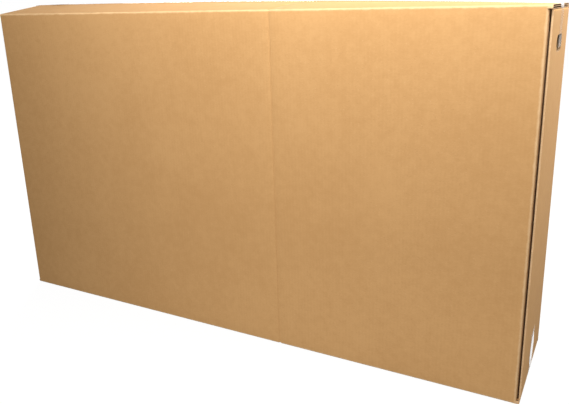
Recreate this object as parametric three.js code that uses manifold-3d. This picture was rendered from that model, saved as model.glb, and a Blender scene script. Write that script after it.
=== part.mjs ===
// A long, tall and narrow shipping carton of brown double-wall board, taped shut.
// Millimetres, +Z up. The origin is at the middle of the base, X runs along the box and the front is at -Y.

import * as THREE from 'three';
import { mergeVertices } from 'three/addons/utils/BufferGeometryUtils.js';
import Module from 'manifold-3d';

// Outside of the box, from fold to fold
const length = 1300;
const depth = 260;
const height = 730;

// Board and folds
const board = 7;
const foldRadius = 4;
const flapClearance = 0.5;
const flapInset = 1;
const slotClearance = 2;
const seamGap = 3;
const shortFlapSag = 3;

// The long upper flaps rise to a low ridge, highest at the left end and flat near the right end
const ridgeRise = 19.5;
const ridgeRun = 1300;
const ridgeFullness = 2.8;

// Hand holes, with their centre this far below the upper edge
const handHoleWidth = 80;
const handHoleHeight = 30;
const handHoleDrop = 67;

// Shipping creases
const creaseWidth = 8;
const creaseDepth = 0.8;

// Glued corner: the front's glue flap lies inside the right end, whose cut edge shows behind the fold
const glueFlapWidth = 45;
const glueFlapTaper = 15;
const cutEdgeSetback = 4;
const openFluteWidth = 3;
const openFluteDepth = 8;
const outerPly = 3;

// Packing tape
const tapeWidth = 48;
const tapeThickness = 0.4;
const tapeGap = 0.3;
const upperTapeDrop = 75;
const lowerTapeRise = 94;
const upperTapeOffset = 8;
const lowerTapeOffset = 0;
const ridgeBridge = 12;
const bubbleLift = 2.5;
const bubbleLength = 90;
const bubbleFromEnd = 80;

// The board is crushed a little along the lower seam, so that the tape lies clear of the ground
const baseClearance = 0.5;
const seamCrush = tapeGap + tapeThickness + baseClearance;
const seamCrushMargin = 4;

// Places worked out from the sizes above
const halfLength = length / 2;
const halfDepth = depth / 2;
const flapEnd = halfLength - flapInset;
const panelEnd = halfLength - foldRadius;
const gluedPanelEnd = panelEnd - board;
const shortFlapHalfWidth = halfDepth - board - slotClearance;
const endRimDrop = board + flapClearance;
const flapReach = halfDepth - seamGap / 2 - foldRadius;
const shortFlapReach = halfDepth - foldRadius;
const frontCrease = -halfLength + (length + depth) / 2;
const backCrease = -halfLength + (length - depth) / 2;
const cutEdgeY = -halfDepth + foldRadius + cutEdgeSetback;
const tapeTurn = flapEnd + tapeGap;
const quarter = Math.PI / 2;
const arcSteps = 6;

// How far a corner strip runs on into the long panel and the flap folds beside it
const cornerLap = 2;

const wasm = await Module();
wasm.setup();

function toSolid(geometry) {
  const bare = geometry.clone();
  bare.deleteAttribute('normal');
  bare.deleteAttribute('uv');
  const merged = mergeVertices(bare, 1e-4);
  return new wasm.Manifold(new wasm.Mesh({
    numProp: 3,
    vertProperties: new Float32Array(merged.attributes.position.array),
    triVerts: new Uint32Array(merged.index.array),
  }));
}

function toGeometry(solid) {
  const mesh = solid.getMesh();
  const geometry = new THREE.BufferGeometry();
  geometry.setAttribute('position', new THREE.BufferAttribute(mesh.vertProperties, 3));
  geometry.setIndex(new THREE.BufferAttribute(mesh.triVerts, 1));
  geometry.computeVertexNormals();
  return geometry;
}

// A closed skin over a row of outlines with equal numbers of points; each outline is a list of Vector3
function loft(outlines, flat) {
  const count = outlines[0].length;
  const position = outlines.flat().flatMap((point) => point.toArray());
  const index = [];
  for (let row = 0; row + 1 < outlines.length; row += 1) {
    for (let i = 0; i < count; i += 1) {
      const j = (i + 1) % count;
      const a = row * count + i;
      const b = row * count + j;
      index.push(a, b, b + count, a, b + count, a + count);
    }
  }
  const lastRow = (outlines.length - 1) * count;
  const clockwise = THREE.ShapeUtils.isClockWise(flat);
  for (const [a, b, c] of THREE.ShapeUtils.triangulateShape(flat, [])) {
    const [first, last] = clockwise ? [a, c] : [c, a];
    index.push(first, b, last);
    index.push(lastRow + last, lastRow + b, lastRow + first);
  }
  const geometry = new THREE.BufferGeometry();
  geometry.setAttribute('position', new THREE.Float32BufferAttribute(position, 3));
  geometry.setIndex(index);
  return geometry;
}

function loftSolid(outlines, flat) {
  const solid = toSolid(loft(outlines, flat));
  if (solid.volume() > 0) return solid;
  const turned = outlines.map((outline) => [...outline].reverse());
  return toSolid(loft(turned, [...flat].reverse()));
}

function arcPoints(centre, radius, from, to, steps) {
  const points = [];
  for (let i = 0; i <= steps; i += 1) {
    const angle = from + (to - from) * i / steps;
    points.push(new THREE.Vector2(centre.x + radius * Math.cos(angle), centre.y + radius * Math.sin(angle)));
  }
  return points;
}

// Height of the ridge above the upper edge, at a place along the box
function ridgeAt(x) {
  const along = (x + halfLength) / ridgeRun;
  return along < 1 ? ridgeRise * (1 - Math.max(along, 0) ** ridgeFullness) : 0;
}

// Depth of a shipping crease in the board, at a place along the box
function creaseAt(x, creaseX) {
  const across = Math.abs(x - creaseX) / (creaseWidth / 2);
  return across < 1 ? creaseDepth * Math.cos(across * quarter) ** 2 : 0;
}

// Places along the box where a long sheet gets an outline
function sheetStations(creaseX) {
  const stations = [];
  const even = 12;
  for (let i = 0; i <= even; i += 1) {
    const x = flapEnd * (2 * i / even - 1);
    if (Math.abs(x - creaseX) > creaseWidth) stations.push(x);
  }
  for (const across of [-1, -0.7, -0.35, 0, 0.35, 0.7, 1]) stations.push(creaseX + across * creaseWidth / 2);
  const runOut = -halfLength + ridgeRun;
  if (stations.every((x) => Math.abs(x - runOut) > 1) && runOut < flapEnd) stations.push(runOut);
  return stations.sort((a, b) => a - b);
}

// Outline of a long panel with its upper and lower flap, seen along the box, for the front (-Y) side.
// First number: towards the box's middle from its outside face; second: height.
function sheetOutline(x, creaseX) {
  const dent = creaseAt(x, creaseX);
  const tilt = Math.asin(ridgeAt(x) / flapReach);
  const upper = new THREE.Vector2(foldRadius, height - foldRadius);
  const lower = new THREE.Vector2(foldRadius, foldRadius);
  const outer = foldRadius - dent;
  const along = new THREE.Vector2(Math.cos(tilt), Math.sin(tilt)).multiplyScalar(flapReach);
  const crushStart = halfDepth - tapeWidth / 2 - Math.abs(lowerTapeOffset) - seamCrushMargin;
  const upperOut = arcPoints(upper, outer, Math.PI, quarter + tilt, arcSteps);
  const lowerOut = arcPoints(lower, outer, Math.PI + quarter, Math.PI, arcSteps);
  const tip = upperOut[arcSteps].clone().add(along);
  const underside = new THREE.Vector2(Math.sin(tilt), -Math.cos(tilt)).multiplyScalar(board - dent);
  const underTip = tip.clone().add(underside);
  const insideCorner = new THREE.Vector2(board, underTip.y - (underTip.x - board) * Math.tan(tilt));
  return [
    new THREE.Vector2(foldRadius + flapReach, board),
    new THREE.Vector2(foldRadius + flapReach, seamCrush),
    new THREE.Vector2(crushStart, seamCrush),
    new THREE.Vector2(crushStart - seamCrushMargin, dent),
    ...lowerOut,
    ...upperOut,
    tip,
    underTip,
    insideCorner,
    new THREE.Vector2(board, board),
  ];
}

// Clears what lies beyond a long panel's end, between the folds of its two flaps
function panelCutter(side, panelX) {
  const x = [panelX, Math.sign(panelX) * length].sort((a, b) => a - b);
  const y = [side * (halfDepth - board), side * depth].sort((a, b) => a - b);
  const margin = foldRadius + cornerLap;
  return block(new THREE.Vector3(x[0], y[0], margin), new THREE.Vector3(x[1], y[1], height - margin));
}

// The front or the back: one long panel with its upper and lower long flap, which run on over the vertical folds
function longSheet(side, creaseX, rightPanelEnd) {
  const stations = sheetStations(creaseX);
  const flats = stations.map((x) => sheetOutline(x, creaseX));
  const outlines = flats.map((flat, i) => flat.map((p) => new THREE.Vector3(stations[i], side * (halfDepth - p.x), p.y)));
  return loftSolid(outlines, flats[0])
    .subtract(panelCutter(side, -panelEnd))
    .subtract(panelCutter(side, rightPanelEnd));
}

// A strip of board bent along a path of straight stretches and quarter folds, standing upright
function standingStrip(outlinePoints, low, high) {
  const geometry = new THREE.ExtrudeGeometry(new THREE.Shape(outlinePoints), {
    depth: high - low,
    bevelEnabled: false,
  });
  geometry.translate(0, 0, low);
  return toSolid(geometry);
}

function block(low, high) {
  const size = new THREE.Vector3().subVectors(high, low);
  const geometry = new THREE.BoxGeometry(size.x, size.y, size.z);
  geometry.translate(low.x + size.x / 2, low.y + size.y / 2, low.z + size.z / 2);
  return toSolid(geometry);
}

// A vertical fold in an upright strip, from an end into the front (face is -1) or the back (1)
function verticalFold(endX, side, face) {
  const centre = new THREE.Vector2(endX - side * foldRadius, face * (halfDepth - foldRadius));
  const start = side > 0 ? 0 : Math.PI;
  const turn = side * face > 0 ? quarter : -quarter;
  const lapX = centre.x - side * cornerLap;
  return {
    out: [...arcPoints(centre, foldRadius, start, start + turn, arcSteps), new THREE.Vector2(lapX, face * halfDepth)],
    back: [
      new THREE.Vector2(lapX - side * (board - foldRadius), face * (halfDepth - board)),
      new THREE.Vector2(endX - side * board, face * (halfDepth - board)),
    ],
  };
}

// The left end goes round into the front and the back
function leftEndStrip() {
  const rear = verticalFold(-halfLength, -1, 1);
  const front = verticalFold(-halfLength, -1, -1);
  const outline = [...rear.out, ...rear.back, ...[...front.back].reverse(), ...[...front.out].reverse()];
  return standingStrip(outline, foldRadius, height - foldRadius);
}

// The right end goes round into the back, and stops at its cut edge near the front
function rightEndStrip() {
  const rear = verticalFold(halfLength, 1, 1);
  const cutEdge = [new THREE.Vector2(halfLength - board, cutEdgeY), new THREE.Vector2(halfLength, cutEdgeY)];
  return standingStrip([...rear.out, ...rear.back, ...cutEdge], foldRadius, height - foldRadius);
}

// The fold at the front right, which runs on into the glue flap inside the right end
function glueFlap() {
  const face = halfLength - board;
  const front = verticalFold(face, 1, -1);
  const rootY = cutEdgeY + board;
  const root = [new THREE.Vector2(face - board, rootY), new THREE.Vector2(face, rootY)];
  const fold = standingStrip([...front.out, ...front.back, ...root], foldRadius, height - foldRadius);
  const low = foldRadius;
  const high = height - foldRadius;
  const tipY = -halfDepth + glueFlapWidth;
  const plate = new THREE.ExtrudeGeometry(new THREE.Shape([
    new THREE.Vector2(rootY, low),
    new THREE.Vector2(tipY, low + glueFlapTaper),
    new THREE.Vector2(tipY, high - glueFlapTaper),
    new THREE.Vector2(rootY, high),
  ]), { depth: board, bevelEnabled: false });
  plate.rotateY(quarter);
  plate.rotateX(quarter);
  plate.translate(halfLength - 2 * board, 0, 0);
  return fold.add(toSolid(plate));
}

// The fold and the short flap at the top (up is 1) or the bottom (up is -1) of an end
function shortFlap(side, up) {
  const slope = shortFlapSag / shortFlapReach;
  const tilt = up > 0 ? Math.atan(slope) : 0;
  const centre = new THREE.Vector2(halfLength - foldRadius, height / 2 - endRimDrop - foldRadius);
  const along = new THREE.Vector2(-Math.cos(tilt), -Math.sin(tilt)).multiplyScalar(shortFlapReach);
  const out = arcPoints(centre, foldRadius, 0, quarter + tilt, arcSteps);
  const tip = out[arcSteps].clone().add(along);
  const underTip = tip.clone().add(new THREE.Vector2(Math.sin(tilt), -Math.cos(tilt)).multiplyScalar(board));
  const insideX = halfLength - board;
  const overlap = board;
  const flat = [
    new THREE.Vector2(halfLength, centre.y - overlap),
    ...out,
    tip,
    underTip,
    new THREE.Vector2(insideX, underTip.y + (insideX - underTip.x) * Math.tan(tilt)),
    new THREE.Vector2(insideX, centre.y - overlap),
  ];
  const outlines = [-shortFlapHalfWidth, shortFlapHalfWidth].map((y) => (
    flat.map((p) => new THREE.Vector3(side * p.x, y, height / 2 + up * p.y))));
  return loftSolid(outlines, flat);
}

// Clears the ends' upper and lower rims down to where the short flaps' folds begin
function rimCutter(side, up) {
  const front = side > 0 ? cutEdgeY - board : -shortFlapHalfWidth;
  const begin = height / 2 - endRimDrop - foldRadius;
  const x = [side * (halfLength - 2 * board), side * (halfLength + board)].sort((a, b) => a - b);
  const z = [height / 2 + up * begin, height / 2 + up * height].sort((a, b) => a - b);
  return block(
    new THREE.Vector3(x[0], front, z[0]),
    new THREE.Vector3(x[1], shortFlapHalfWidth, z[1]));
}

function handHoleCutter(side) {
  const radius = handHoleHeight / 2;
  const shape = new THREE.Shape();
  const half = handHoleWidth / 2 - radius;
  shape.absarc(half, 0, radius, -quarter, quarter, false);
  shape.absarc(-half, 0, radius, quarter, 3 * quarter, false);
  const geometry = new THREE.ExtrudeGeometry(shape, { depth: 3 * board, bevelEnabled: false, curveSegments: 10 });
  geometry.rotateX(quarter);
  geometry.rotateZ(quarter);
  geometry.translate(side > 0 ? halfLength - 2 * board : -halfLength - board, 0, height - handHoleDrop);
  return toSolid(geometry);
}

// The row of open flutes that shows as a dark line in the cut edge at the glued corner
function openFluteCutter() {
  const outside = halfLength - outerPly;
  return block(
    new THREE.Vector3(outside - openFluteWidth, cutEdgeY - cutEdgeSetback, 0),
    new THREE.Vector3(outside, cutEdgeY + openFluteDepth, height));
}

function buildCarton() {
  let leftEnd = leftEndStrip();
  let rightEnd = rightEndStrip();
  for (const up of [-1, 1]) {
    leftEnd = leftEnd.subtract(rimCutter(-1, up)).add(shortFlap(-1, up));
    rightEnd = rightEnd.subtract(rimCutter(1, up)).add(shortFlap(1, up));
  }
  rightEnd = rightEnd.subtract(openFluteCutter());
  return longSheet(-1, frontCrease, gluedPanelEnd)
    .add(longSheet(1, backCrease, panelEnd))
    .add(leftEnd)
    .add(rightEnd)
    .add(glueFlap())
    .subtract(handHoleCutter(-1))
    .subtract(handHoleCutter(1));
}

// Height of the film over the closed long flaps, at a place along and across the box
function roofAt(x, y) {
  const share = (halfDepth - Math.abs(y)) / (halfDepth - ridgeBridge);
  return height + ridgeAt(x) * THREE.MathUtils.clamp(share, 0, 1);
}

// The film stands off the ridge in one place near the left end
function bubbleAt(x) {
  const across = Math.abs(x + halfLength - bubbleFromEnd) / (bubbleLength / 2);
  return across < 1 ? bubbleLift * Math.cos(across * quarter) ** 2 : 0;
}

// Route of the upper tape along the box, at a distance across it: down the left end, along, down the right end
function upperRoute(y) {
  const route = [];
  const rim = height - endRimDrop;
  const low = height - upperTapeDrop;
  const along = 26;
  route.push([-halfLength - tapeGap, low], [-halfLength - tapeGap, (low + rim) / 2]);
  route.push([-halfLength - tapeGap, rim - foldRadius / 2]);
  for (let i = 0; i <= along; i += 1) {
    const x = tapeTurn * (2 * i / along - 1);
    route.push([x, roofAt(x, y) + tapeGap + bubbleAt(x)]);
  }
  route.push([halfLength + tapeGap, rim - foldRadius / 2]);
  route.push([halfLength + tapeGap, (low + rim) / 2], [halfLength + tapeGap, low]);
  return route;
}

function lowerRoute() {
  const rim = endRimDrop;
  const along = 12;
  const under = seamCrush - tapeGap;
  const route = [[-halfLength - tapeGap, lowerTapeRise], [-halfLength - tapeGap, rim + foldRadius / 2]];
  for (let i = 0; i <= along; i += 1) route.push([tapeTurn * (2 * i / along - 1), under]);
  route.push([halfLength + tapeGap, rim + foldRadius / 2], [halfLength + tapeGap, lowerTapeRise]);
  return route;
}

// A strip of film along a route; outward is the side of the route that the thickness goes to
function strip(routeAt, offset, outward) {
  const across = [-1, -0.5, 0, 0.5, 1].map((share) => offset + share * tapeWidth / 2);
  const routes = across.map((y) => routeAt(y));
  const outlines = routes[0].map((_, i) => {
    const near = [];
    const far = [];
    for (const [k, y] of across.entries()) {
      const route = routes[k];
      const before = new THREE.Vector2(...route[Math.max(i - 1, 0)]);
      const here = new THREE.Vector2(...route[i]);
      const after = new THREE.Vector2(...route[Math.min(i + 1, route.length - 1)]);
      const arriving = (i > 0 ? here.clone().sub(before) : after.clone().sub(here)).normalize();
      const leaving = (i < route.length - 1 ? after.clone().sub(here) : arriving.clone()).normalize();
      const mean = arriving.clone().add(leaving).normalize();
      const normal = new THREE.Vector2(-mean.y, mean.x).multiplyScalar(outward);
      const reach = tapeThickness / Math.max(normal.dot(new THREE.Vector2(-leaving.y, leaving.x)) * outward, 0.5);
      near.push(new THREE.Vector3(here.x, y, here.y));
      far.push(new THREE.Vector3(here.x + normal.x * reach, y, here.y + normal.y * reach));
    }
    return [...near, ...far.reverse()];
  });
  const half = tapeWidth / 2;
  const flat = [
    ...across.map((y) => new THREE.Vector2(y - offset, 0)),
    ...[...across].reverse().map((y) => new THREE.Vector2(y - offset, half)),
  ];
  return loftSolid(outlines, flat);
}

function mesh(name, solid, material) {
  const result = new THREE.Mesh(toGeometry(solid), material);
  result.name = name;
  return result;
}

const kraftBoard = new THREE.MeshStandardMaterial({ color: 0xc89b66, roughness: 0.85, metalness: 0 });
const clearTape = new THREE.MeshStandardMaterial({
  color: 0xd8c09a,
  roughness: 0.2,
  metalness: 0,
  transparent: true,
  opacity: 0.5,
});

const box = new THREE.Group();
box.add(mesh('carton', buildCarton(), kraftBoard));
box.add(mesh('top_tape', strip(upperRoute, upperTapeOffset, 1), clearTape));
box.add(mesh('bottom_tape', strip(lowerRoute, lowerTapeOffset, -1), clearTape));

export default box;
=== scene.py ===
"""A long, narrow shipping carton of brown double-wall board, closed by clear packing tape.

Metres, +Z up, X along the box, the front panel at -Y, the origin at the middle of the base.
"""
import math

import bmesh
import bpy
from mathutils import Matrix, Vector, noise


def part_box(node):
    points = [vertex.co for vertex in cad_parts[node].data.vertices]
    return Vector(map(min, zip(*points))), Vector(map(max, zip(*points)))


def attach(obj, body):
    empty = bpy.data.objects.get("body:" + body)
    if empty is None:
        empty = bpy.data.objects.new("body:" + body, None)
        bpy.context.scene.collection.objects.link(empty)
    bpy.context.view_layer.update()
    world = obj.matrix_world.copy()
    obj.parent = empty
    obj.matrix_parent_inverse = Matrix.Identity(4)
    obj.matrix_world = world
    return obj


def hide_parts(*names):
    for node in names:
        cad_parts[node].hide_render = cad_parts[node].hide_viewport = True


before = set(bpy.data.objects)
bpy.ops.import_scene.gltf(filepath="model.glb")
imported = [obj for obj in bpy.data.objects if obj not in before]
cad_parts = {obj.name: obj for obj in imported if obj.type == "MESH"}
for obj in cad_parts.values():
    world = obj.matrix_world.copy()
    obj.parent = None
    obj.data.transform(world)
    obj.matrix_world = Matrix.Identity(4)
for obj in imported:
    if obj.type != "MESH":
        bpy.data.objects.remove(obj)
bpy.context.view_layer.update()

MM = 0.001

# Outside of the box, read from the frame
CARTON_LOW, CARTON_HIGH = (Vector(corner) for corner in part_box("carton"))
HALF_LENGTH = (CARTON_HIGH.x - CARTON_LOW.x) / 2
HALF_DEPTH = (CARTON_HIGH.y - CARTON_LOW.y) / 2
RIDGE_RISE = 19.5 * MM
HEIGHT = 730 * MM

# Board and folds
BOARD = 7 * MM
FOLD_RADIUS = 4 * MM
FLAP_CLEARANCE = 0.5 * MM
FLAP_INSET = 1 * MM
SLOT_CLEARANCE = 2 * MM
SEAM_GAP = 3 * MM
SHORT_FLAP_SAG = 3 * MM
RIDGE_RUN = 1300 * MM
RIDGE_FULLNESS = 2.8

# The board's layers from its outside: the depths at which each row of open flutes begins and ends
FLUTE_ROWS = ((0.6 * MM, 3.0 * MM), (3.6 * MM, 6.4 * MM))
CRUSHED_ROWS = ((1.8 * MM, 3.4 * MM), (4.0 * MM, 6.4 * MM))
FLUTE_PITCH = 7.5 * MM
OPEN_DEPTH = 14 * MM
HOLE_FLUTE_DEPTH = 5 * MM

# Hand holes, creases and the glued corner
HOLE_WIDTH = 80 * MM
HOLE_HEIGHT = 30 * MM
HOLE_DROP = 67 * MM
CREASE_WIDTH = 8 * MM
CREASE_DEPTH = 1.3 * MM
GLUE_FLAP_WIDTH = 45 * MM
GLUE_FLAP_TAPER = 15 * MM
CUT_EDGE_SETBACK = 4 * MM
OPEN_FLUTE_WIDTH = 3 * MM
OPEN_FLUTE_DEPTH = 14 * MM
OUTER_PLY = 3 * MM
CORNER_LAP = 2 * MM

# Tape
TAPE_WIDTH = 48 * MM
FILM = 0.2 * MM
TAPE_GAP = 0.3 * MM
UPPER_TAPE_DROP = 75 * MM
LOWER_TAPE_RISE = 94 * MM
UPPER_TAPE_OFFSET = 8 * MM
LOWER_TAPE_OFFSET = 0 * MM
RIDGE_BRIDGE = 12 * MM
BUBBLE_LIFT = 1.2 * MM
BUBBLE_LENGTH = 90 * MM
BUBBLE_FROM_END = 80 * MM
CUT_TEETH = 0.7 * MM
SEAM_CRUSH = 1.2 * MM
SEAM_CRUSH_MARGIN = 4 * MM

# Slack in the panels: how far their middles sink in, and the small unevenness over them
FRONT_BOW = 1.6 * MM
END_BOW = 0.6 * MM
UNEVENNESS = 0.35 * MM
STIFF_MARGIN = 20 * MM

# Places worked out from the sizes above
FLAP_END = HALF_LENGTH - FLAP_INSET
PANEL_END = HALF_LENGTH - FOLD_RADIUS
GLUED_PANEL_END = PANEL_END - BOARD
TAPE_TURN = FLAP_END + TAPE_GAP
SHORT_FLAP_HALF_WIDTH = HALF_DEPTH - BOARD - SLOT_CLEARANCE
RIM_DROP = BOARD + FLAP_CLEARANCE
FLAP_REACH = HALF_DEPTH - SEAM_GAP / 2 - FOLD_RADIUS
SHORT_FLAP_REACH = HALF_DEPTH - FOLD_RADIUS
FRONT_CREASE = HALF_DEPTH
BACK_CREASE = -HALF_DEPTH
CUT_EDGE_Y = -HALF_DEPTH + FOLD_RADIUS + CUT_EDGE_SETBACK
CRUSH_START = HALF_DEPTH - TAPE_WIDTH / 2 - LOWER_TAPE_OFFSET - SEAM_CRUSH_MARGIN
HOLE_Z = HEIGHT - HOLE_DROP
QUARTER = math.pi / 2

# Relief of the surfaces, and rubbed paper with a painted highlight at the folds
RIB_RELIEF = 0.06 * MM
RIB_WANDER = 1.2 * MM
FIBRE_RELIEF = 0.10 * MM
RAW_RELIEF = 0.3 * MM
FILM_RIPPLE = 0.7 * MM
FILM_LINES = 0.03 * MM
WEAR_AND_HIGHLIGHT_REACH = 4 * MM
WEAR_AND_HIGHLIGHT_RAGGEDNESS = 3 * MM
WEAR_AND_HIGHLIGHT_COVER = 0.55

# Where the film is painted pale as glare: how far the glare reaches over the ridge, right and left,
# and the glare patch low on an end, as its middle and its half height, right and left
LOOSE_GLARE_REACH = (40 * MM, 20 * MM)
LOOSE_GLARE_PATCH = ((50 * MM, 38 * MM), (40 * MM, 26 * MM))

# Fineness of the board's mesh
ARC_STEPS = 8
PANEL_STEP = 20 * MM
FLAP_STEPS = 6
PANEL_STEPS = 36

# Fineness of the film's mesh
UPPER_FILM_STEPS = 120
LOWER_FILM_STEPS = 60
FILM_TEETH = 32

# The board's two finishes, by their place among a piece's materials
LINER_FACE = 0
RAW_FACE = 1


def arc(cx, cy, radius, start, end, steps=ARC_STEPS):
    """Points on an arc, from one angle to the other."""
    angles = (start + (end - start) * i / steps for i in range(steps + 1))
    return [(cx + radius * math.cos(a), cy + radius * math.sin(a)) for a in angles]


def between(a, b, steps):
    """Evenly spaced points from a to b, without the two ends."""
    return [tuple(p + (q - p) * i / steps for p, q in zip(a, b)) for i in range(1, steps)]


def filled(points, step=PANEL_STEP):
    """The closed outline with extra points along its long stretches."""
    result = []
    for a, b in zip(points, points[1:] + points[:1]):
        result.append(a)
        result.extend(between(a, b, max(1, round(math.dist(a, b) / step))))
    return result


def ridge_at(x):
    """Height of the ridge above the upper edge."""
    along = (x + HALF_LENGTH) / RIDGE_RUN
    return RIDGE_RISE * (1 - max(along, 0) ** RIDGE_FULLNESS) if along < 1 else 0.0


def crease_at(x, crease_x):
    """Depth of a shipping crease."""
    across = abs(x - crease_x) / (CREASE_WIDTH / 2)
    return CREASE_DEPTH * math.cos(across * QUARTER) ** 2 if across < 1 else 0.0


def new_object(name, bm):
    """A mesh object at the origin from a bmesh, with its faces turned outwards."""
    bmesh.ops.recalc_face_normals(bm, faces=bm.faces)
    mesh = bpy.data.meshes.new(name)
    bm.to_mesh(mesh)
    bm.free()
    obj = bpy.data.objects.new(name, mesh)
    bpy.context.collection.objects.link(obj)
    return obj


def loft(name, rows, raw_spans=(), caps=LINER_FACE):
    """A closed skin over a row of closed outlines with equal numbers of points.

    raw_spans names the points after which a cut edge of the board runs to the next point.
    """
    bm = bmesh.new()
    rings = [[bm.verts.new(p) for p in row] for row in rows]
    count = len(rings[0])
    for ring, following in zip(rings, rings[1:]):
        for i in range(count):
            j = (i + 1) % count
            face = bm.faces.new((ring[i], ring[j], following[j], following[i]))
            face.material_index = RAW_FACE if i in raw_spans else LINER_FACE
    for ring in (rings[0][::-1], rings[-1]):
        bm.faces.new(ring).material_index = caps
    obj = new_object(name, bm)
    for paper in BOARD_PAPERS:
        obj.data.materials.append(paper)
    return obj


def sheet_stations(crease_x):
    """Places along the box where a long sheet gets an outline."""
    count = round(2 * FLAP_END / PANEL_STEP)
    even = [FLAP_END * (2 * i / count - 1) for i in range(count + 1)]
    stations = [x for x in even if abs(x - crease_x) > CREASE_WIDTH]
    stations += [crease_x + CREASE_WIDTH * i / 8 for i in range(-4, 5)]
    return sorted(stations)


def upper_flap(x, crease_x):
    """An upper long flap seen along the box: its outer arc's end, its direction, and down through it."""
    tilt = math.asin(ridge_at(x) / FLAP_REACH)
    turn = QUARTER + tilt
    outer = FOLD_RADIUS - crease_at(x, crease_x)
    start = Vector((FOLD_RADIUS + outer * math.cos(turn), HEIGHT - FOLD_RADIUS + outer * math.sin(turn)))
    return start, Vector((math.cos(tilt), math.sin(tilt))), Vector((math.sin(tilt), -math.cos(tilt)))


def sheet_outline(x, crease_x):
    """A long panel with its upper and lower flap, seen along the box: (inwards from its face, height)."""
    dent = crease_at(x, crease_x)
    outer = FOLD_RADIUS - dent
    start, along, down = upper_flap(x, crease_x)
    upper_out = arc(FOLD_RADIUS, HEIGHT - FOLD_RADIUS, outer, math.pi, QUARTER + math.atan2(along.y, along.x))
    lower_out = arc(FOLD_RADIUS, FOLD_RADIUS, outer, math.pi + QUARTER, math.pi)
    tip = start + along * FLAP_REACH
    under_tip = tip + down * (BOARD - dent)
    inside = (BOARD, under_tip.y - (under_tip.x - BOARD) * along.y / along.x)
    seam = FOLD_RADIUS + FLAP_REACH
    points = [(seam, BOARD), (seam, SEAM_CRUSH), (CRUSH_START, SEAM_CRUSH)]
    points.append((CRUSH_START - SEAM_CRUSH_MARGIN, dent))
    points += between(points[-1], lower_out[0], FLAP_STEPS) + lower_out
    points += between(lower_out[-1], upper_out[0], PANEL_STEPS) + upper_out
    points += between(upper_out[-1], tip, FLAP_STEPS)
    tip_index = len(points)
    points += [tuple(tip), tuple(under_tip)]
    points += between(points[-1], inside, FLAP_STEPS) + [inside]
    points += between(inside, (BOARD, BOARD), PANEL_STEPS) + [(BOARD, BOARD)]
    return points, (0, tip_index)


def panel_cutter(side, panel_x):
    """Clears what lies beyond a long panel's end, between the folds of its two flaps."""
    xs = sorted((panel_x, math.copysign(2 * HALF_LENGTH, panel_x)))
    ys = sorted((side * (HALF_DEPTH - BOARD), side * 2 * HALF_DEPTH))
    margin = FOLD_RADIUS + CORNER_LAP
    return block("panel_cutter", (xs[0], ys[0], margin), (xs[1], ys[1], HEIGHT - margin))


def long_sheet(name, side, crease_x, right_panel_end):
    """The front (side -1) or the back (1): a long panel with its long flaps and their open flutes."""
    rows = []
    for x in sheet_stations(crease_x):
        outline, raw_spans = sheet_outline(x, crease_x)
        rows.append([(x, side * (HALF_DEPTH - inward), z) for inward, z in outline])
    sheet = loft(name, rows, raw_spans, RAW_FACE)
    tools = [panel_cutter(side, -PANEL_END), panel_cutter(side, right_panel_end)]
    tools += [tool for end in (-1, 1) for up in (-1, 1) for tool in open_flutes(side, end, up)]
    combine(sheet, tools, "DIFFERENCE")
    return sheet


def standing_strip(name, outline, low, high, raw_spans=()):
    """A strip of board that stands upright on a bent outline."""
    steps = round((high - low) / PANEL_STEP)
    heights = [low + (high - low) * i / steps for i in range(steps + 1)]
    return loft(name, [[(x, y, z) for x, y in outline] for z in heights], raw_spans, RAW_FACE)


def corner(end_x, side, face):
    """Outer and inner outline of the fold from an end (-1 left, 1 right) into the front (-1) or back (1)."""
    cx, cy = end_x - side * FOLD_RADIUS, face * (HALF_DEPTH - FOLD_RADIUS)
    start = 0 if side > 0 else math.pi
    turn = QUARTER if side * face > 0 else -QUARTER
    lap_x = cx - side * CORNER_LAP
    out = arc(cx, cy, FOLD_RADIUS, start, start + turn) + [(lap_x, face * HALF_DEPTH)]
    inner_y = face * (HALF_DEPTH - BOARD)
    return out, [(lap_x - side * (BOARD - FOLD_RADIUS), inner_y), (end_x - side * BOARD, inner_y)]


def end_strip(side):
    """An end with its vertical folds; the right one stops at its cut edge near the front."""
    out, back = corner(side * HALF_LENGTH, side, 1)
    outline = out + back
    if side > 0:
        front = [(HALF_LENGTH - BOARD, CUT_EDGE_Y), (HALF_LENGTH, CUT_EDGE_Y)]
    else:
        front_out, front_back = corner(-HALF_LENGTH, -1, -1)
        front = front_back[::-1] + front_out[::-1]
    outline += between(outline[-1], front[0], 12) + front
    cut = len(outline) - 2 if side > 0 else None
    outline += between(outline[-1], outline[0], 12)
    name = "right_end" if side > 0 else "left_end"
    return standing_strip(name, outline, FOLD_RADIUS, HEIGHT - FOLD_RADIUS, (cut,))


def glue_fold():
    """The fold at the front right with the root of the glue flap."""
    face = HALF_LENGTH - BOARD
    out, back = corner(face, 1, -1)
    root_y = CUT_EDGE_Y + BOARD
    outline = out + back + [(face - BOARD, root_y), (face, root_y)]
    return standing_strip("glue_fold", outline, FOLD_RADIUS, HEIGHT - FOLD_RADIUS)


def glue_flap():
    """The tapered glue flap inside the right end."""
    low, high = FOLD_RADIUS, HEIGHT - FOLD_RADIUS
    root, tip = CUT_EDGE_Y + BOARD, -HALF_DEPTH + GLUE_FLAP_WIDTH
    shape = filled([(root, low), (tip, low + GLUE_FLAP_TAPER), (tip, high - GLUE_FLAP_TAPER), (root, high)])
    faces = (HALF_LENGTH - 2 * BOARD, HALF_LENGTH - BOARD)
    return loft("glue_flap", [[(x, y, z) for y, z in shape] for x in faces])


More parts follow.
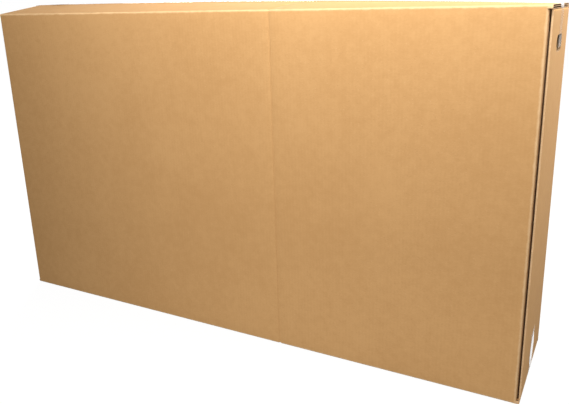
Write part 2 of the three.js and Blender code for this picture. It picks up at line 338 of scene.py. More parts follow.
def short_flap(side, up):
    """A short flap with its fold, at the top (up 1) or bottom (-1) of an end."""
    tilt = math.atan(SHORT_FLAP_SAG / SHORT_FLAP_REACH) if up > 0 else 0.0
    cx, cy = HALF_LENGTH - FOLD_RADIUS, HEIGHT / 2 - RIM_DROP - FOLD_RADIUS
    out = arc(cx, cy, FOLD_RADIUS, 0, QUARTER + tilt)
    tip = (out[-1][0] - SHORT_FLAP_REACH * math.cos(tilt), out[-1][1] - SHORT_FLAP_REACH * math.sin(tilt))
    under_tip = (tip[0] + BOARD * math.sin(tilt), tip[1] - BOARD * math.cos(tilt))
    inside_x = HALF_LENGTH - BOARD
    corner_z = under_tip[1] + (inside_x - under_tip[0]) * math.tan(tilt)
    flat = [(HALF_LENGTH, cy - BOARD)] + out + [tip, under_tip, (inside_x, corner_z), (inside_x, cy - BOARD)]
    steps = 8
    widths = [SHORT_FLAP_HALF_WIDTH * (2 * i / steps - 1) for i in range(steps + 1)]
    rows = [[(side * x, y, HEIGHT / 2 + up * z) for x, z in flat] for y in widths]
    return loft("short_flap", rows, (len(out) + 1,), RAW_FACE)


def block(name, low, high):
    """A box between two corners, for cutting."""
    base = [(low[0], low[1]), (high[0], low[1]), (high[0], high[1]), (low[0], high[1])]
    return loft(name, [[(x, y, z) for x, y in base] for z in (low[2], high[2])], range(4), RAW_FACE)


def rim_cutter(side, up):
    """Clears an end down to where the short flap's fold begins."""
    begin = HEIGHT / 2 - RIM_DROP - FOLD_RADIUS
    front = CUT_EDGE_Y - BOARD if side > 0 else -SHORT_FLAP_HALF_WIDTH
    xs = sorted((side * (HALF_LENGTH - 2 * BOARD), side * (HALF_LENGTH + BOARD)))
    zs = sorted((HEIGHT / 2 + up * begin, HEIGHT / 2 + up * HEIGHT))
    return block("rim_cutter", (xs[0], front, zs[0]), (xs[1], SHORT_FLAP_HALF_WIDTH, zs[1]))


def hole_outline(margin=0.0, steps=14):
    """The outline of a hand hole in an end, a margin outside its edge: (across, height)."""
    radius = HOLE_HEIGHT / 2
    half = HOLE_WIDTH / 2 - radius
    shape = arc(half, 0, radius + margin, -QUARTER, QUARTER, steps)
    shape += arc(-half, 0, radius + margin, QUARTER, 3 * QUARTER, steps)
    return [(y, z + HOLE_Z) for y, z in filled(shape, 2 * MM)]


def hole_cutter(side, inner, outer, margin=0.0):
    """A hand hole's prism, between two depths below the end's face."""
    shape = hole_outline(margin)
    xs = (side * (HALF_LENGTH - inner), side * (HALF_LENGTH - outer))
    return loft("hole_cutter", [[(x, y, z) for y, z in shape] for x in xs], range(len(shape)), RAW_FACE)


def open_flutes(side, end, up):
    """The rows of open flutes in a long flap's raw end: side -1 front, end -1 left, up 1 upper flap."""
    end_x = end * FLAP_END
    start, along, inward = upper_flap(end_x, FRONT_CREASE)
    if up < 0:
        start, along, inward = Vector((FOLD_RADIUS, 0)), Vector((1, 0)), Vector((0, 1))
    tools = []
    for low, high in (FLUTE_ROWS if up > 0 else CRUSHED_ROWS):
        far = FLAP_REACH + BOARD
        ends = [start + along * reach + inward * depth
                for reach, depth in ((0, low), (far, low), (far, high), (0, high))]
        xs = (end_x - end * OPEN_DEPTH, end_x + end * BOARD)
        rows = [[(x, side * (HALF_DEPTH - p.x), p.y) for p in ends] for x in xs]
        tools.append(loft("open_flutes", rows, range(4), RAW_FACE))
    return tools


def combine(target, tools, operation):
    """Joins or cuts target with each tool in turn; the tools are used up."""
    for tool in tools:
        modifier = target.modifiers.new("combine", "BOOLEAN")
        modifier.operation = operation
        modifier.solver = "MANIFOLD"
        modifier.object = tool
    depsgraph = bpy.context.evaluated_depsgraph_get()
    mesh = bpy.data.meshes.new_from_object(target.evaluated_get(depsgraph))
    target.modifiers.clear()
    old = target.data
    target.data = mesh
    bpy.data.meshes.remove(old)
    for tool in tools:
        data = tool.data
        bpy.data.objects.remove(tool)
        bpy.data.meshes.remove(data)


def swell(value, half):
    """One in the middle of a panel, nothing at its folds."""
    reach = half - STIFF_MARGIN
    return 1 - (value / reach) ** 2 if abs(value) < reach else 0.0


def slacken(obj):
    """Lets the panels sink in a little, unevenly, between their folds."""
    for vertex in obj.data.vertices:
        x, y, z = vertex.co
        standing = swell(z - HEIGHT / 2, HEIGHT / 2)
        if abs(y) > HALF_DEPTH - BOARD - MM:
            level = swell(x, HALF_LENGTH) * standing
            uneven = UNEVENNESS * (1 + noise.noise(Vector((x * 7, y * 3, z * 7)))) * min(4 * level, 1)
            vertex.co.y -= math.copysign(FRONT_BOW * level + uneven * 0.5, y)
        if abs(x) > HALF_LENGTH - 2 * BOARD - MM:
            vertex.co.x -= math.copysign(END_BOW * swell(y, HALF_DEPTH) * standing, x)


def build_carton():
    """The folded and glued sheet as one closed skin."""
    ends = {side: end_strip(side) for side in (-1, 1)}
    for side, end in ends.items():
        combine(end, [rim_cutter(side, up) for up in (-1, 1)], "DIFFERENCE")
        combine(end, [short_flap(side, up) for up in (-1, 1)], "UNION")
    outside = HALF_LENGTH - OUTER_PLY
    channel = block("channel", (outside - OPEN_FLUTE_WIDTH, CUT_EDGE_Y - CUT_EDGE_SETBACK, 0),
                    (outside, CUT_EDGE_Y + OPEN_FLUTE_DEPTH, HEIGHT))
    combine(ends[1], [channel], "DIFFERENCE")
    front = long_sheet("carton_board", -1, FRONT_CREASE, GLUED_PANEL_END)
    back = long_sheet("back", 1, BACK_CREASE, PANEL_END)
    combine(front, [back, ends[-1], ends[1], glue_fold(), glue_flap()], "UNION")
    combine(front, [hole_cutter(side, 3 * BOARD, -BOARD) for side in (-1, 1)], "DIFFERENCE")
    grooves = [hole_cutter(side, high, low, HOLE_FLUTE_DEPTH) for side in (-1, 1) for low, high in FLUTE_ROWS]
    combine(front, grooves, "DIFFERENCE")
    slacken(front)
    return front


def corrugation_tree():
    """Geometry nodes: a hand hole's rim line becomes a waved ply of paper that reaches into the board."""
    tree = bpy.data.node_groups.new("hand_hole_flutes", "GeometryNodeTree")
    made = {}
    for name, kind, value in (
            ("Rim", "NodeSocketGeometry", None), ("Pitch", "NodeSocketFloat", FLUTE_PITCH),
            ("Swing", "NodeSocketFloat", MM), ("Ply", "NodeSocketFloat", 0.3 * MM),
            ("Reach", "NodeSocketFloat", HOLE_FLUTE_DEPTH), ("Half Straight", "NodeSocketFloat", 22 * MM),
            ("Hole Height", "NodeSocketFloat", HOLE_Z), ("Paper", "NodeSocketMaterial", None)):
        made[name] = tree.interface.new_socket(name, in_out="INPUT", socket_type=kind)
        if value is not None:
            made[name].default_value = value
    tree.interface.new_socket("Plies", in_out="OUTPUT", socket_type="NodeSocketGeometry")
    nodes, links = tree.nodes, tree.links
    given = nodes.new("NodeGroupInput")
    out = nodes.new("NodeGroupOutput")

    def math_node(operation, *inputs):
        node = nodes.new("ShaderNodeMath")
        node.operation = operation
        for socket, value in zip(node.inputs, inputs):
            if isinstance(value, (int, float)):
                socket.default_value = value
            else:
                links.new(value, socket)
        return node.outputs[0]

    place = nodes.new("ShaderNodeSeparateXYZ")
    links.new(nodes.new("GeometryNodeInputPosition").outputs[0], place.inputs[0])
    turns = math_node("DIVIDE", place.outputs["Y"], given.outputs["Pitch"])
    phase = math_node("MULTIPLY", turns, 2 * math.pi)
    swing = nodes.new("ShaderNodeCombineXYZ")
    links.new(math_node("MULTIPLY", math_node("SINE", phase), given.outputs["Swing"]), swing.inputs["X"])
    waved = nodes.new("GeometryNodeSetPosition")
    links.new(given.outputs["Rim"], waved.inputs["Geometry"])
    links.new(swing.outputs[0], waved.inputs["Offset"])

    half = given.outputs["Half Straight"]
    straight = math_node("MAXIMUM", place.outputs["Y"], math_node("MULTIPLY", half, -1))
    straight = math_node("MINIMUM", straight, half)
    outwards = nodes.new("ShaderNodeCombineXYZ")
    links.new(math_node("SUBTRACT", place.outputs["Y"], straight), outwards.inputs["Y"])
    links.new(math_node("SUBTRACT", place.outputs["Z"], given.outputs["Hole Height"]), outwards.inputs["Z"])
    direction = nodes.new("ShaderNodeVectorMath")
    direction.operation = "NORMALIZE"
    links.new(outwards.outputs[0], direction.inputs[0])
    ribbon = nodes.new("GeometryNodeExtrudeMesh")
    ribbon.mode = "EDGES"
    links.new(waved.outputs[0], ribbon.inputs["Mesh"])
    links.new(direction.outputs[0], ribbon.inputs["Offset"])
    links.new(given.outputs["Reach"], ribbon.inputs["Offset Scale"])

    ply = nodes.new("GeometryNodeExtrudeMesh")
    ply.mode = "FACES"
    ply.inputs["Individual"].default_value = False
    links.new(ribbon.outputs["Mesh"], ply.inputs["Mesh"])
    links.new(given.outputs["Ply"], ply.inputs["Offset Scale"])
    under = nodes.new("GeometryNodeFlipFaces")
    links.new(ribbon.outputs["Mesh"], under.inputs["Mesh"])
    joined = nodes.new("GeometryNodeJoinGeometry")
    links.new(ply.outputs["Mesh"], joined.inputs[0])
    links.new(under.outputs["Mesh"], joined.inputs[0])
    closed = nodes.new("GeometryNodeMergeByDistance")
    closed.inputs["Distance"].default_value = 0.01 * MM
    links.new(joined.outputs[0], closed.inputs["Geometry"])
    real = nodes.new("GeometryNodeRealizeInstances")
    links.new(closed.outputs[0], real.inputs[0])
    finish = nodes.new("GeometryNodeSetMaterial")
    links.new(real.outputs[0], finish.inputs["Geometry"])
    links.new(given.outputs["Paper"], finish.inputs["Material"])
    links.new(finish.outputs[0], out.inputs[0])
    return tree, {name: socket.identifier for name, socket in made.items()}


def hole_flutes(paper):
    """The waved plies that show in the cut edges of both hand holes, as one piece."""
    bm = bmesh.new()
    for side in (-1, 1):
        for low, high in FLUTE_ROWS:
            x = side * (HALF_LENGTH - END_BOW * swell(HOLE_Z - HEIGHT / 2, HEIGHT / 2) - (low + high) / 2)
            rim = [bm.verts.new((x, y, z)) for y, z in filled(hole_outline(0.3 * MM), MM)]
            for a, b in zip(rim, rim[1:] + rim[:1]):
                bm.edges.new((a, b))
    obj = new_object("hand_hole_flutes", bm)
    tree, sockets = corrugation_tree()
    modifier = obj.modifiers.new("flutes", "NODES")
    modifier.node_group = tree
    modifier[sockets["Swing"]] = (FLUTE_ROWS[0][1] - FLUTE_ROWS[0][0]) / 2 - 0.2 * MM
    modifier[sockets["Half Straight"]] = (HOLE_WIDTH - HOLE_HEIGHT) / 2
    modifier[sockets["Paper"]] = paper
    depsgraph = bpy.context.evaluated_depsgraph_get()
    mesh = bpy.data.meshes.new_from_object(obj.evaluated_get(depsgraph))
    obj.modifiers.clear()
    old = obj.data
    obj.data = mesh
    bpy.data.meshes.remove(old)
    return obj


def roof_at(x, y):
    """Height of the film over the long flaps."""
    share = (HALF_DEPTH - abs(y)) / (HALF_DEPTH - RIDGE_BRIDGE)
    return HEIGHT + ridge_at(x) * min(max(share, 0), 1)


def bubble_at(x):
    """The film stands off the ridge near the left end."""
    across = abs(x + HALF_LENGTH - BUBBLE_FROM_END) / (BUBBLE_LENGTH / 2)
    return BUBBLE_LIFT * math.cos(across * QUARTER) ** 2 if across < 1 else 0.0


def upper_route(y, tooth):
    """Route of the upper tape along the box, down both ends."""
    rim, low = HEIGHT - RIM_DROP, HEIGHT - UPPER_TAPE_DROP
    face = HALF_LENGTH + TAPE_GAP
    top = rim - FOLD_RADIUS / 2
    down = [(face, low + tooth)] + [(face, low + (top - low) * i / 8) for i in range(1, 9)]
    xs = [TAPE_TURN * (2 * i / UPPER_FILM_STEPS - 1) for i in range(UPPER_FILM_STEPS + 1)]
    over = [(x, roof_at(x, y) + TAPE_GAP + bubble_at(x)) for x in xs]
    return [(-x, z) for x, z in down] + over + down[::-1]


def lower_route(_y, tooth):
    """Route of the lower tape along the box, up both ends."""
    face = HALF_LENGTH + TAPE_GAP
    low = RIM_DROP + FOLD_RADIUS / 2
    steps = range(9, -1, -1)
    up = [(face, LOWER_TAPE_RISE - tooth)] + [(face, low + (LOWER_TAPE_RISE - low) * i / 10) for i in steps]
    xs = [TAPE_TURN * (2 * i / LOWER_FILM_STEPS - 1) for i in range(LOWER_FILM_STEPS + 1)]
    return [(-x, z) for x, z in up] + [(x, SEAM_CRUSH - TAPE_GAP) for x in xs] + up[::-1]


def ease(value, low, high):
    """From nothing at low to one at high, eased at both ends."""
    share = min(max((value - low) / (high - low), 0), 1)
    return share * share * (3 - 2 * share)


def film_lift_and_glare(x, y, z):
    """How whitish the film looks at a point, from nothing to one: where the bubble stands it off the board,
    and as painted glare where it runs over the box's ends, with a faint painted reflection across the hand
    holes.
    """
    lift_and_glare = bubble_at(x) / BUBBLE_LIFT if z > HEIGHT else 0.0
    # Painted glare where the tape runs over the ends of the ridge, stronger at the right
    if z > HEIGHT - RIM_DROP:
        lift_and_glare = max(lift_and_glare, 0.8 * ease(x, FLAP_END - LOOSE_GLARE_REACH[0], FLAP_END))
        lift_and_glare = max(lift_and_glare, 0.5 * ease(-x, FLAP_END - LOOSE_GLARE_REACH[1], FLAP_END))
    # Painted glare in a spindle-shaped patch low on each end
    if abs(x) > HALF_LENGTH and z < HEIGHT / 2:
        middle, half_height = LOOSE_GLARE_PATCH[0] if x > 0 else LOOSE_GLARE_PATCH[1]
        width = TAPE_WIDTH / 2 * max(1 - ((z - middle) / half_height) ** 2, 0)
        lean = (z - middle) * 0.15
        lift_and_glare = max(lift_and_glare, 1 - ease(abs(y - LOWER_TAPE_OFFSET - lean), 0.9 * width, width + MM))
    # A faint painted reflection where the film spans a hand hole
    if abs(x) > HALF_LENGTH and abs(z - HOLE_Z) < HOLE_HEIGHT / 2:
        lift_and_glare = max(lift_and_glare, 0.12)
    return lift_and_glare


def film_strip(name, route_at, offset, outward):
    """A strip of film along a route, FILM thick towards the outside, with its ends torn off on teeth."""
    across = [offset + TAPE_WIDTH * (i / FILM_TEETH - 0.5) for i in range(FILM_TEETH + 1)]
    routes = [route_at(y, CUT_TEETH * (i % 2)) for i, y in enumerate(across)]
    rows = []
    for i in range(len(routes[0])):
        near, far = [], []
        for y, route in zip(across, routes):
            here = Vector(route[i])
            before, after = Vector(route[max(i - 1, 0)]), Vector(route[min(i + 1, len(route) - 1)])
            direction = ((here - before).normalized() + (after - here).normalized()).normalized()
            normal = Vector((-direction.y, direction.x)) * outward
            near.append((here.x, y, here.y))
            far.append((here.x + normal.x * FILM, y, here.y + normal.y * FILM))
        rows.append(near + far[::-1])
    tape = loft(name, rows)
    tape.data.materials.clear()
    # The points carry how whitish the film looks: the bubble, and painted glare
    lift_and_glare = tape.data.attributes.new("lift_and_glare", "FLOAT", "POINT")
    for vertex, value in zip(tape.data.vertices, lift_and_glare.data):
        value.value = film_lift_and_glare(*vertex.co)
    return tape


def smooth(obj, angle=30):
    """Smooth shading with sharp edges kept."""
    obj.data.shade_smooth()
    obj.data.set_sharp_from_angle(angle=math.radians(angle))


class Wiring:
    """Short calls to place and join the nodes of one shader tree."""

    def __init__(self, tree):
        self.tree = tree
        self.nodes = tree.nodes

    def feed(self, socket, value):
        """Joins a socket to another, or sets its plain value."""
        if isinstance(value, bpy.types.NodeSocket):
            self.tree.links.new(value, socket)
        else:
            socket.default_value = value

    def add(self, kind, inputs=None, **settings):
        """A new node with its settings and inputs."""
        node = self.nodes.new(kind)
        for name, value in settings.items():
            setattr(node, name, value)
        for name, value in (inputs or {}).items():
            self.feed(node.inputs[name], value)
        return node

    def math(self, operation, first, second=0.0, clamp=False):
        """One sum of two numbers."""
        node = self.add("ShaderNodeMath", {0: first, 1: second}, operation=operation, use_clamp=clamp)
        return node.outputs[0]

    def blend(self, share, first, second, mode="MIX"):
        """A colour between two colours."""
        node = self.add("ShaderNodeMix", {0: share, 6: first, 7: second}, data_type="RGBA", blend_type=mode)
        return node.outputs[2]

    def spread(self, value, low, high, to_low=0.0, to_high=1.0):
        """A number moved from one range to another, eased at both ends."""
        inputs = {"Value": value, "From Min": low, "From Max": high, "To Min": to_low, "To Max": to_high}
        return self.add("ShaderNodeMapRange", inputs, interpolation_type="SMOOTHSTEP").outputs[0]

    def grain(self, place, scale, detail=2.0, roughness=0.5, stretch=(1, 1, 1), shift=(0, 0, 0)):
        """Noise around a half, stretched along an axis."""
        moved = self.add("ShaderNodeMapping", {"Vector": place, "Scale": stretch, "Location": shift})
        inputs = {"Vector": moved.outputs[0], "Scale": scale, "Detail": detail, "Roughness": roughness}
        return self.add("ShaderNodeTexNoise", inputs).outputs[0]


def effect_group(name, inputs, outputs):
    """A shader node group with its named sockets; returns it, its wiring, its inputs and its outputs."""
    group = bpy.data.node_groups.new(name, "ShaderNodeTree")
    for socket, kind, value in inputs:
        made = group.interface.new_socket(socket, in_out="INPUT", socket_type="NodeSocket" + kind)
        if value is not None:
            made.default_value = value
    for socket, kind in outputs:
        group.interface.new_socket(socket, in_out="OUTPUT", socket_type="NodeSocket" + kind)
    wiring = Wiring(group)
    given = group.nodes.new("NodeGroupInput")
    result = group.nodes.new("NodeGroupOutput")
    return group, wiring, given.outputs, result.inputs


def kraft_fibres():
    """Brown paper: soft patches, fine fibres along the paper's run, and dark and pale flecks."""
    group, w, given, result = effect_group(
        "kraft_fibres",
        (("Place", "Vector", None), ("Colour", "Color", (0.5, 0.3, 0.12, 1)),
         ("Deep Colour", "Color", (0.4, 0.2, 0.08, 1)), ("Fleck Strength", "Float", 0.3),
         ("Seed", "Float", 0.0)),
        (("Colour", "Color"), ("Height", "Float"), ("Patches", "Float")))
    shift = w.add("ShaderNodeCombineXYZ", {"X": given["Seed"], "Y": given["Seed"]}).outputs[0]
    place = w.add("ShaderNodeVectorMath", {0: given["Place"], 1: shift}, operation="ADD").outputs[0]
    patches = w.grain(place, 4.5, 3.0, 0.55)
    fibres = w.grain(place, 420.0, 3.0, 0.6, (0.45, 1, 1))
    fine = w.grain(place, 1500.0, 2.0, 0.6, (0.6, 1, 1))
    mottle = w.grain(place, 60.0, 3.0, 0.6)
    tone = w.math("ADD", w.math("MULTIPLY", patches, 0.35), w.math("MULTIPLY", fibres, 0.3))
    tone = w.math("ADD", tone, w.math("MULTIPLY", mottle, 0.35))
    paper = w.blend(w.spread(tone, 0.36, 0.64), given["Deep Colour"], given["Colour"])
    dark = w.spread(w.grain(place, 700.0, 1.0, 0.5, (0.5, 1, 1), (3, 1, 2)), 0.66, 0.76)
    dark = w.math("MULTIPLY", dark, given["Fleck Strength"])
    paper = w.blend(dark, paper, w.blend(1.0, paper, (0.62, 0.55, 0.48, 1), "MULTIPLY"))
    pale = w.spread(w.grain(place, 600.0, 1.0, 0.5, (0.5, 1, 1), (7, 4, 5)), 0.68, 0.78)
    pale = w.math("MULTIPLY", pale, w.math("MULTIPLY", given["Fleck Strength"], 0.5))
    paper = w.blend(pale, paper, (0.74, 0.54, 0.33, 1))
    height = w.math("ADD", w.math("MULTIPLY", fibres, 0.6), w.math("MULTIPLY", fine, 0.4))
    w.feed(result["Colour"], paper)
    w.feed(result["Height"], height)
    w.feed(result["Patches"], patches)
    return group


def flute_lines():
    """The faint ribs where the flutes show through a liner: upright on every panel, across on the flaps."""
    group, w, given, result = effect_group(
        "flute_lines",
        (("Place", "Vector", None), ("Normal", "Vector", None), ("Pitch", "Float", FLUTE_PITCH)),
        (("Ribs", "Float"), ("Presence", "Float")))
    place = w.add("ShaderNodeSeparateXYZ", {0: given["Place"]}).outputs
    normal = w.add("ShaderNodeSeparateXYZ", {0: given["Normal"]}).outputs
    on_end = w.math("GREATER_THAN", w.math("ABSOLUTE", normal["X"]), 0.7)
    across = w.math("ADD", w.math("MULTIPLY", place["Y"], on_end),
                    w.math("MULTIPLY", place["X"], w.math("SUBTRACT", 1.0, on_end)))
    wander = w.grain(given["Place"], 9.0, 2.0, 0.5)
    across = w.math("ADD", across, w.math("MULTIPLY", wander, RIB_WANDER))
    turns = w.math("MULTIPLY", w.math("DIVIDE", across, given["Pitch"]), 2 * math.pi)
    ribs = w.math("MULTIPLY", w.math("ADD", w.math("SINE", turns), 1.0), 0.5)
    bands = w.grain(given["Place"], 6.0, 2.0, 0.5, (2.2, 2.2, 0.5), (2, 5, 1))
    presence = w.spread(bands, 0.35, 0.65, 0.35, 1.0)
    w.feed(result["Ribs"], ribs)
    w.feed(result["Presence"], presence)
    return group


def fold_wear_and_highlight():
    """Rubbed paper and a painted highlight along the outer folds, from how near a point is to two sides of
    the box at once.

    Lap is how far the fold of the glued corner sits in from the right end.
    """
    group, w, given, result = effect_group(
        "fold_wear_and_highlight",
        (("Place", "Vector", None), ("Half Length", "Float", HALF_LENGTH),
         ("Half Depth", "Float", HALF_DEPTH), ("Height", "Float", HEIGHT), ("Reach", "Float", WEAR_AND_HIGHLIGHT_REACH),
         ("Lap", "Float", BOARD)),
        (("Wear And Highlight", "Float"),))
    place = w.add("ShaderNodeSeparateXYZ", {0: given["Place"]}).outputs
    half_height = w.math("MULTIPLY", given["Height"], 0.5)
    from_end = w.math("SUBTRACT", given["Half Length"], w.math("ABSOLUTE", place["X"]))
    lapped = w.math("MULTIPLY", w.math("GREATER_THAN", place["X"], 0.0),
                    w.math("LESS_THAN", place["Y"], CUT_EDGE_Y))
    from_end = w.math("SUBTRACT", from_end, w.math("MULTIPLY", lapped, given["Lap"]))
    from_face = w.math("SUBTRACT", given["Half Depth"], w.math("ABSOLUTE", place["Y"]))
    from_middle = w.math("ABSOLUTE", w.math("SUBTRACT", place["Z"], half_height))
    from_top = w.math("SUBTRACT", half_height, from_middle)
    least = w.math("MINIMUM", from_end, from_face)
    most = w.math("MAXIMUM", from_end, from_face)
    second = w.math("MAXIMUM", least, w.math("MINIMUM", most, from_top))
    ragged = w.math("SUBTRACT", w.grain(given["Place"], 70.0, 3.0, 0.6), 0.5)
    ragged = w.math("MULTIPLY", ragged, 2 * WEAR_AND_HIGHLIGHT_RAGGEDNESS)
    nearness = w.math("DIVIDE", w.math("ADD", second, ragged), given["Reach"])
    w.feed(result["Wear And Highlight"], w.math("SUBTRACT", 1.0, w.spread(nearness, 0.2, 1.4)))
    return group


def new_material(name, **values):
    """A material with plain values on its shader's sockets; returns it, its wiring and its shader."""
    material = bpy.data.materials.new(name)
    material.use_nodes = True
    shader = material.node_tree.nodes["Principled BSDF"]
    for socket, value in values.items():
        shader.inputs[socket.replace("_", " ")].default_value = value
    return material, Wiring(material.node_tree), shader


def place_group(w, group, **values):
    """An effect's node in a material, with its own values."""
    node = w.add("ShaderNodeGroup", node_tree=group)
    for socket, value in values.items():
        w.feed(node.inputs[socket.replace("_", " ")], value)
    return node.outputs


KRAFT = (0.50, 0.285, 0.118, 1)
KRAFT_DEEP = (0.455, 0.252, 0.100, 1)
# Paler paper at the folds: rubbed, and lightened further as a painted highlight
KRAFT_RUBBED_AND_LIT = (0.70, 0.49, 0.28, 1)
RAW_PAPER = (0.56, 0.37, 0.20, 1)
RAW_PAPER_DEEP = (0.44, 0.27, 0.13, 1)

fibres_effect = kraft_fibres()
flutes_effect = flute_lines()
wear_and_highlight_effect = fold_wear_and_highlight()


def kraft_liner():
    """The board's outer and inner paper."""
    material, w, shader = new_material("kraft_liner", IOR=1.45, Specular_IOR_Level=0.06, Sheen_Weight=0.04,
                                       Sheen_Roughness=0.3)
    place = w.add("ShaderNodeTexCoord").outputs["Object"]
    normal = w.add("ShaderNodeNewGeometry").outputs["Normal"]
    fibres = place_group(w, fibres_effect, Place=place, Colour=KRAFT, Deep_Colour=KRAFT_DEEP,
                         Fleck_Strength=0.3)
    flutes = place_group(w, flutes_effect, Place=place, Normal=normal)
    wear_and_highlight = place_group(w, wear_and_highlight_effect, Place=place)["Wear And Highlight"]
    ribs = w.math("MULTIPLY", flutes["Ribs"], flutes["Presence"])
    shaded = w.blend(w.math("MULTIPLY", ribs, 0.10), fibres["Colour"],
                     w.blend(1.0, fibres["Colour"], (0.80, 0.76, 0.72, 1), "MULTIPLY"))
    # Paler along the folds: rubbed paper with a painted highlight where the folds catch the light
    worn_and_lit = w.blend(w.math("MULTIPLY", wear_and_highlight, WEAR_AND_HIGHLIGHT_COVER), shaded, KRAFT_RUBBED_AND_LIT)
    w.feed(shader.inputs["Base Color"], worn_and_lit)
    gloss = w.math("ADD", w.spread(fibres["Patches"], 0.3, 0.7, 0.80, 0.88),
                   w.math("MULTIPLY", wear_and_highlight, 0.08))
    w.feed(shader.inputs["Roughness"], gloss)
    relief = w.math("ADD", w.math("MULTIPLY", ribs, RIB_RELIEF),
                    w.math("MULTIPLY", fibres["Height"], FIBRE_RELIEF))
    bump = w.add("ShaderNodeBump", {"Height": relief, "Strength": 1.0, "Distance": 1.0})
    w.feed(shader.inputs["Normal"], bump.outputs[0])
    return material


def raw_edge():
    """Cut paper in the board's edges and the plies inside it."""
    material, w, shader = new_material("raw_board_edge")
    place = w.add("ShaderNodeTexCoord").outputs["Object"]
    fibres = place_group(w, fibres_effect, Place=place, Colour=RAW_PAPER, Deep_Colour=RAW_PAPER_DEEP,
                         Fleck_Strength=0.8, Seed=3.0)
    w.feed(shader.inputs["Base Color"], fibres["Colour"])
    w.feed(shader.inputs["Roughness"], w.spread(fibres["Patches"], 0.3, 0.7, 0.85, 0.95))
    relief = w.math("MULTIPLY", fibres["Height"], RAW_RELIEF)
    bump = w.add("ShaderNodeBump", {"Height": relief, "Strength": 1.0, "Distance": 1.0})
    w.feed(shader.inputs["Normal"], bump.outputs[0])
    return material


def clear_film():
    """Clear packing tape: glossy, barely tinted, whitish where it isn't quite stuck, with painted glare and a
    painted reflection that turn it pale where it is seen edge-on, and fine drawn lines.
    """
    material, w, shader = new_material("clear_film", IOR=1.48)
    place = w.add("ShaderNodeTexCoord").outputs["Object"]
    patchy = w.spread(w.grain(place, 26.0, 3.0, 0.6, (0.35, 1.6, 0.6), (4, 2, 9)), 0.55, 0.68)
    drawn = w.grain(place, 220.0, 2.0, 0.5, (0.03, 1, 0.05))
    lift_and_glare = w.add("ShaderNodeAttribute", attribute_name="lift_and_glare").outputs["Fac"]
    facing = w.add("ShaderNodeLayerWeight", {"Blend": 0.5}).outputs["Facing"]
    # Painted glare where the points call for it, stronger at a slant, over faint random patches where the
    # film isn't quite stuck
    glare = w.spread(facing, 0.40, 0.85, 0.45, 1.0)
    loose_and_glare = w.math("MAXIMUM", w.math("MULTIPLY", patchy, 0.12), w.math("MULTIPLY", lift_and_glare, glare))
    # Painted reflection: the film turns pale where it is seen edge-on
    grazing = w.spread(facing, 0.90, 0.99)
    milky_and_glare = w.math("MAXIMUM", loose_and_glare, w.math("MULTIPLY", grazing, 0.75))
    w.feed(shader.inputs["Base Color"], w.blend(milky_and_glare, (0.62, 0.46, 0.29, 1), (1.0, 0.97, 0.97, 1)))
    cover = w.math("ADD", w.math("MULTIPLY", milky_and_glare, 0.90), w.math("MULTIPLY", drawn, 0.16), clamp=True)
    w.feed(shader.inputs["Alpha"], cover)
    w.feed(shader.inputs["Roughness"], w.spread(drawn, 0.3, 0.7, 0.10, 0.24))
    ripple = w.grain(place, 18.0, 3.0, 0.5, (1.0, 0.5, 1.0), (6, 6, 6))
    relief = w.math("ADD", w.math("MULTIPLY", ripple, FILM_RIPPLE), w.math("MULTIPLY", drawn, FILM_LINES))
    bump = w.add("ShaderNodeBump", {"Height": relief, "Strength": 1.0, "Distance": 1.0})
    w.feed(shader.inputs["Normal"], bump.outputs[0])
    return material


BOARD_PAPERS = [kraft_liner(), raw_edge()]

carton = build_carton()
smooth(carton)
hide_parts("carton")
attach(carton, "root")

flutes = hole_flutes(BOARD_PAPERS[RAW_FACE])
smooth(flutes)
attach(flutes, "root")

film = clear_film()
for node, route_at, offset, outward in (("top_tape", upper_route, UPPER_TAPE_OFFSET, 1),
                                        ("bottom_tape", lower_route, LOWER_TAPE_OFFSET, -1)):
    tape = film_strip(node + "_film", route_at, offset, outward)
    smooth(tape)
    tape.data.materials.append(film)
    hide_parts(node)
    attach(tape, "root")

# Camera at the photo's place: its distances in metres, its picture 569 by 404 pixels
PICTURE = (569, 404)
FOCAL_PX = 620.04
CENTRE_PX = (302.61, 180.89)
EYE = Vector((0.76507, -1.20796, 0.74052))
FORWARD = Vector((-0.44762, 0.85061, -0.27585)).normalized()
UP = Vector((-0.10862, 0.25448, 0.96096))


def add_camera():
    """The scene camera, with the photo's place, tilt and framing."""
    data = bpy.data.cameras.new("camera")
    data.sensor_width = 36
    data.lens = FOCAL_PX / PICTURE[0] * data.sensor_width
    data.shift_x = (PICTURE[0] / 2 - CENTRE_PX[0]) / PICTURE[0]
    data.shift_y = (CENTRE_PX[1] - PICTURE[1] / 2) / PICTURE[0]
    data.clip_start = 0.05
    camera = bpy.data.objects.new("camera", data)
    bpy.context.collection.objects.link(camera)
    right = FORWARD.cross(UP).normalized()
    up = right.cross(FORWARD)
    turn = Matrix((right, up, -FORWARD)).transposed().to_4x4()
    camera.matrix_world = Matrix.Translation(EYE) @ turn
    bpy.context.scene.camera = camera


def add_lamp(name, place, target, size, power):
    """A square area lamp that faces a point."""
    data = bpy.data.lights.new(name, "AREA")
    data.size = size
    data.energy = power
    lamp = bpy.data.objects.new(name, data)
    lamp.location = place
    lamp.rotation_euler = (Vector(target) - Vector(place)).to_track_quat("-Z", "Y").to_euler()
    bpy.context.collection.objects.link(lamp)


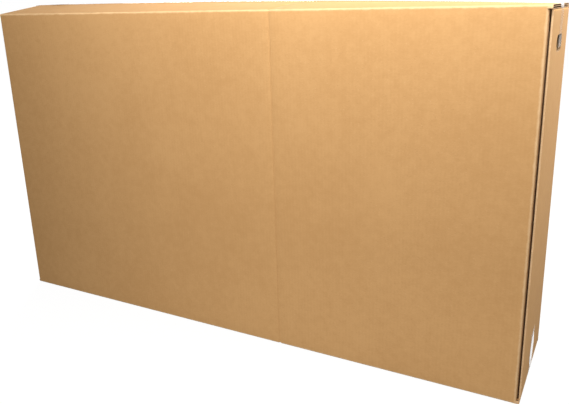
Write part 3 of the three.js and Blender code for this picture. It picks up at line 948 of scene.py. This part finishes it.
def seen_rays(w):
    """One for a ray from the camera, a reflection or a transmission, nothing for other light."""
    path = w.add("ShaderNodeLightPath").outputs
    seen = w.math("MAXIMUM", path["Is Camera Ray"], path["Is Glossy Ray"])
    return w.math("MAXIMUM", seen, path["Is Transmission Ray"])


def add_world(grey):
    """Even light from all around, and a white backdrop."""
    world = bpy.data.worlds.new("studio")
    bpy.context.scene.world = world
    world.use_nodes = True
    world.node_tree.nodes.clear()
    w = Wiring(world.node_tree)
    dim = w.add("ShaderNodeBackground", {"Color": (grey, grey, grey, 1)}).outputs[0]
    white = w.add("ShaderNodeBackground", {"Color": (1, 1, 1, 1)}).outputs[0]
    mixed = w.add("ShaderNodeMixShader", {0: seen_rays(w), 1: dim, 2: white}).outputs[0]
    w.add("ShaderNodeOutputWorld", {"Surface": mixed})


def add_floor(glow):
    """A plain white floor that keeps the box's shadow."""
    bm = bmesh.new()
    bmesh.ops.create_grid(bm, x_segments=1, y_segments=1, size=6)
    floor = new_object("floor", bm)
    if floor.data.polygons[0].normal.z < 0:
        floor.data.flip_normals()
    material, w, shader = new_material("floor", Base_Color=(0.05, 0.05, 0.05, 1), Roughness=1.0)
    w.feed(shader.inputs["Emission Color"], (1, 1, 1, 1))
    w.feed(shader.inputs["Emission Strength"], w.math("MULTIPLY", seen_rays(w), glow))
    floor.data.materials.append(material)


add_camera()
add_lamp("key", (0.503, -0.735, 1.74), (0.482, -0.1, 2.0), 0.9, 148)
add_lamp("front_fill", (0.008, -1.633, 0.6), (1.5, -0.1, -0.326), 0.9, 28)
add_lamp("right_fill", (1.9, -0.25, 1.6), (HALF_LENGTH, 0, HEIGHT / 2), 0.6, 26)
add_lamp("top_right_glow", (1.05, 0.5, 1.25), (HALF_LENGTH, 0, HEIGHT), 0.4, 7.5)
add_lamp("back_fill", (-1.6, 2.2, 0.8), (0, HALF_DEPTH, HEIGHT / 2), 1.2, 60)
add_world(0.28)
add_floor(0.94)
bpy.context.scene.view_settings.view_transform = "Standard"
